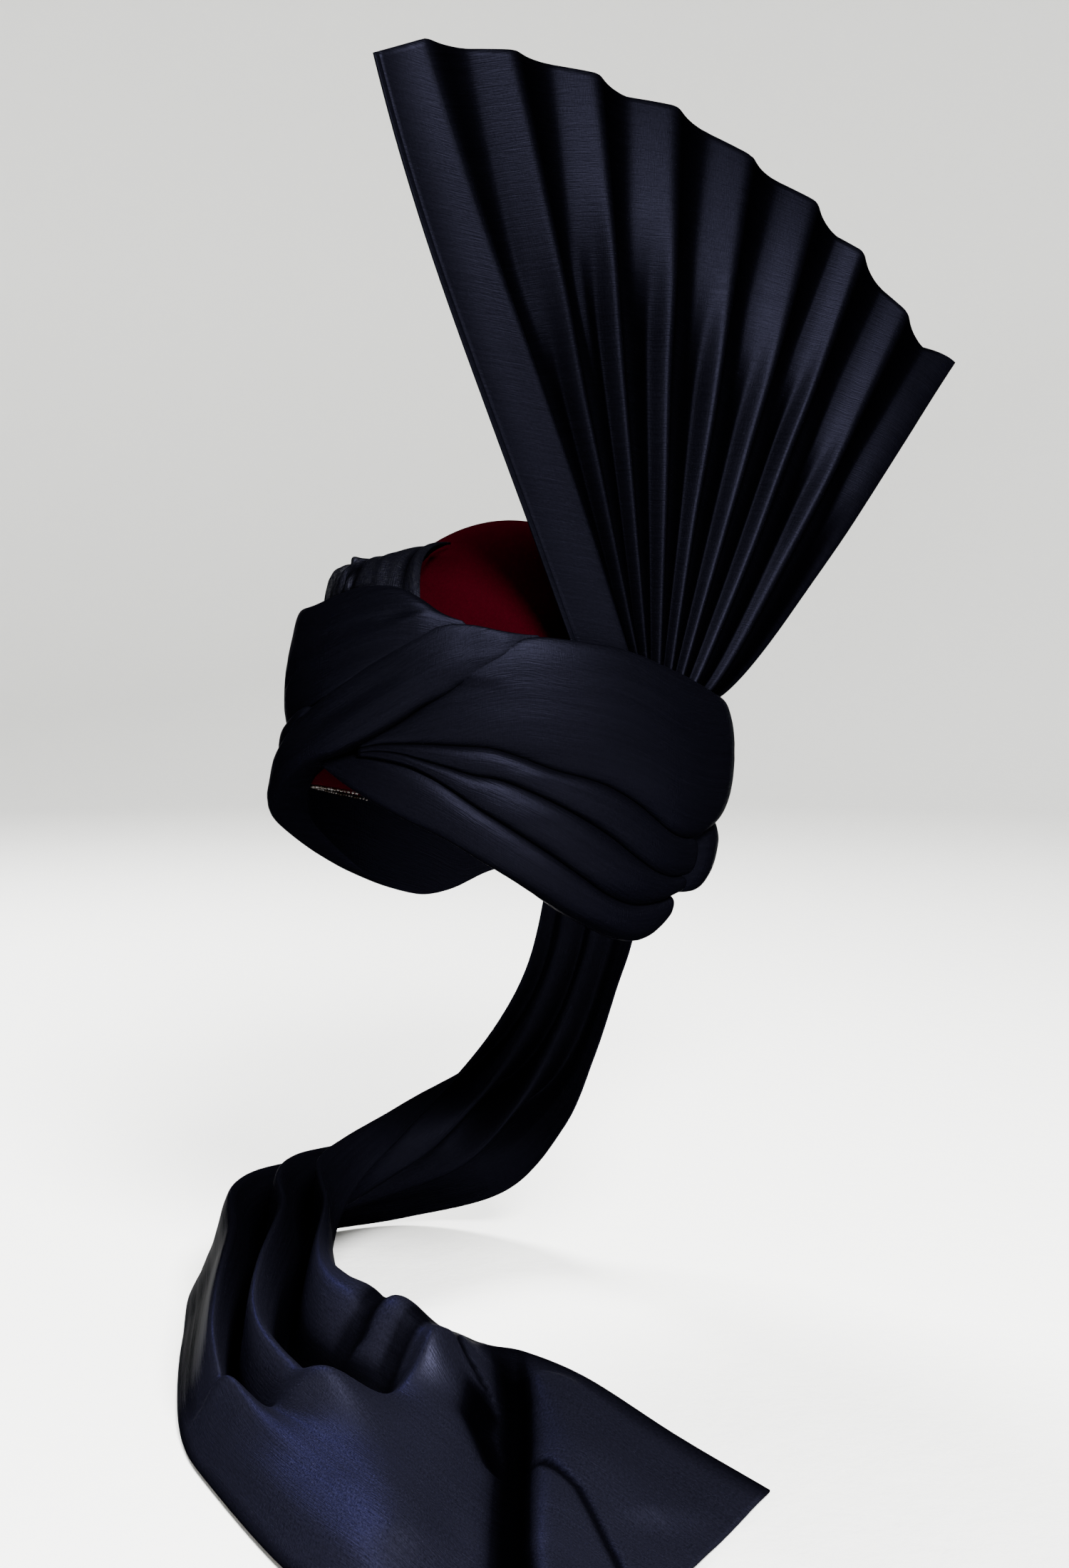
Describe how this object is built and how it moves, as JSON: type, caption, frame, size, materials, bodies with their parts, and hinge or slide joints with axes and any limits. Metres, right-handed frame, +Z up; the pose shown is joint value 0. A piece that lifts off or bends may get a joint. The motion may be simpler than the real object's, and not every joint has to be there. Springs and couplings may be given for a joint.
{
  "type": "wound turban with a pleated fan crest and a long tail",
  "caption": "Felt cap wound with dark satin bands that cross over the forehead, with a gathered metallic cloth end, a tall pleated fan crest at the side and a long tail swept to the front.",
  "frame": {"origin": "centre of the head opening, on the vertical axis of the wound cloth", "axes": "+X towards the wearer's left, -Y towards the forehead, +Z up"},
  "size_m": [0.5015, 0.5356, 0.644],
  "materials": {
    "satin": "dark navy satin with a fine crosswise weave and a soft sheen",
    "felt": "matt maroon felt",
    "beads": "tiny pale gold and silver beads sewn in a line",
    "zari": "dark cloth woven with grey metallic thread"
  },
  "bodies": {
    "root": {"cap": "felt", "cap_edging": "beads", "side_band": "satin", "pleat_upper": "satin", "pleat_middle": "satin", "bottom_roll": "satin", "lower_wind": "satin", "right_pleat": "satin", "gathered_end": "zari", "fan_crest": "satin", "tail": "satin"}
  },
  "joints": []
}
